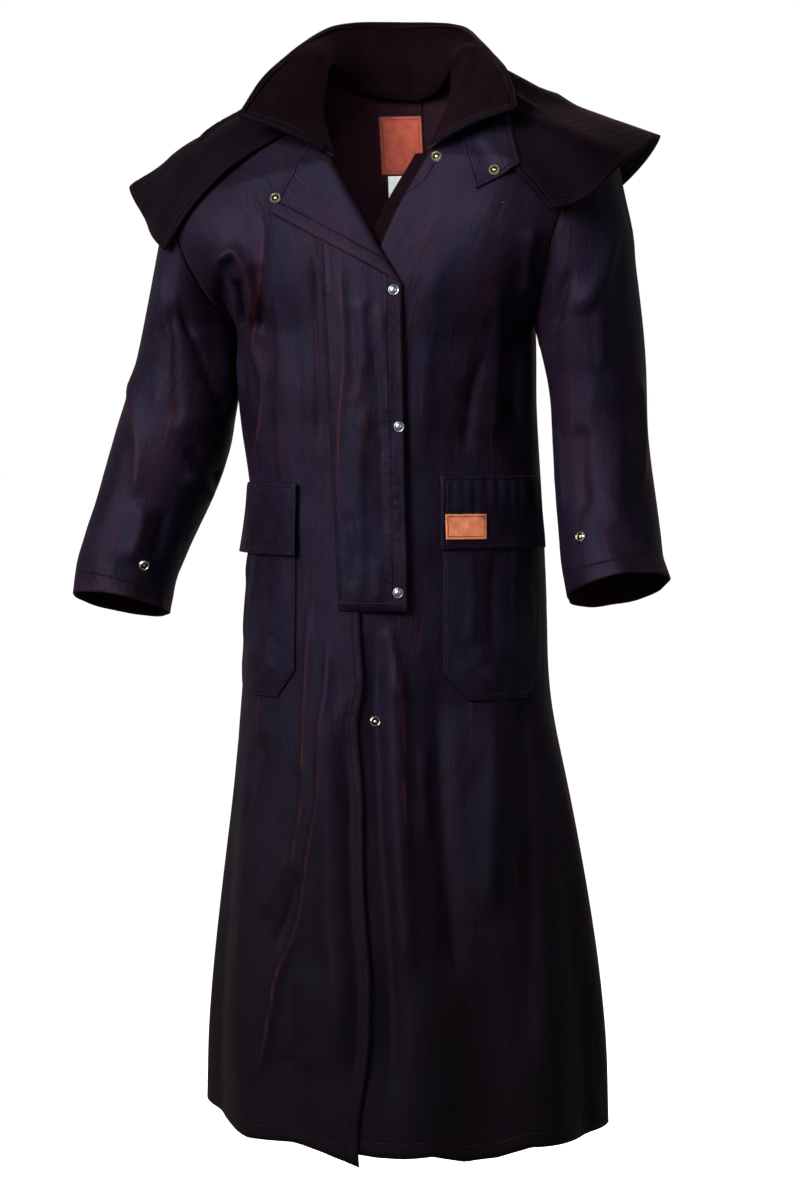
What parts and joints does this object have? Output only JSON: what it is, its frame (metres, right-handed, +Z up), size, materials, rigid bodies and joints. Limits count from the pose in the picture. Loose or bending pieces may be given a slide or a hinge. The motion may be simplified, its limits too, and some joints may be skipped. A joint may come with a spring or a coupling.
{
  "type": "riding coat",
  "caption": "Long waxed riding coat held open as worn, with a shoulder cape, turned-down collar, snapped storm flap and patch pockets.",
  "frame": {"origin": "middle of the neck opening, level with the tops of the shoulder seams, where a hanger or a wearer's shoulders carry the coat", "axes": "+Z up, -Y out of the coat's front, +X towards the wearer's left"},
  "size_m": [0.7346, 0.3833, 1.3588],
  "materials": {
    "waxed_cotton": "waxed, low sheen",
    "collar_cloth": "brushed cotton, matte",
    "tan_patch": "matte",
    "white_tape": "woven tape",
    "snap_metal": "nickel plate"
  },
  "bodies": {
    "root": {"back_left": "waxed_cotton", "back_right": "waxed_cotton", "cape": "waxed_cotton", "care_label": "white_tape", "collar": "waxed_cotton", "collar_facing": "collar_cloth", "front_left": "waxed_cotton", "front_right": "waxed_cotton", "neck_label": "tan_patch", "pocket_flap_left": "waxed_cotton", "pocket_flap_right": "waxed_cotton", "pocket_left": "waxed_cotton", "pocket_patch": "tan_patch", "pocket_right": "waxed_cotton", "sleeve_left": "waxed_cotton", "sleeve_right": "waxed_cotton", "snap_cuff_left": "snap_metal", "snap_cuff_right": "snap_metal", "snap_front_low": "snap_metal", "snap_front_middle": "snap_metal", "snap_front_top": "snap_metal", "snap_lapel": "snap_metal", "snap_neck": "snap_metal", "snap_skirt": "snap_metal", "snap_tab": "snap_metal", "storm_flap": "waxed_cotton", "throat_tab": "waxed_cotton"}
  },
  "joints": []
}
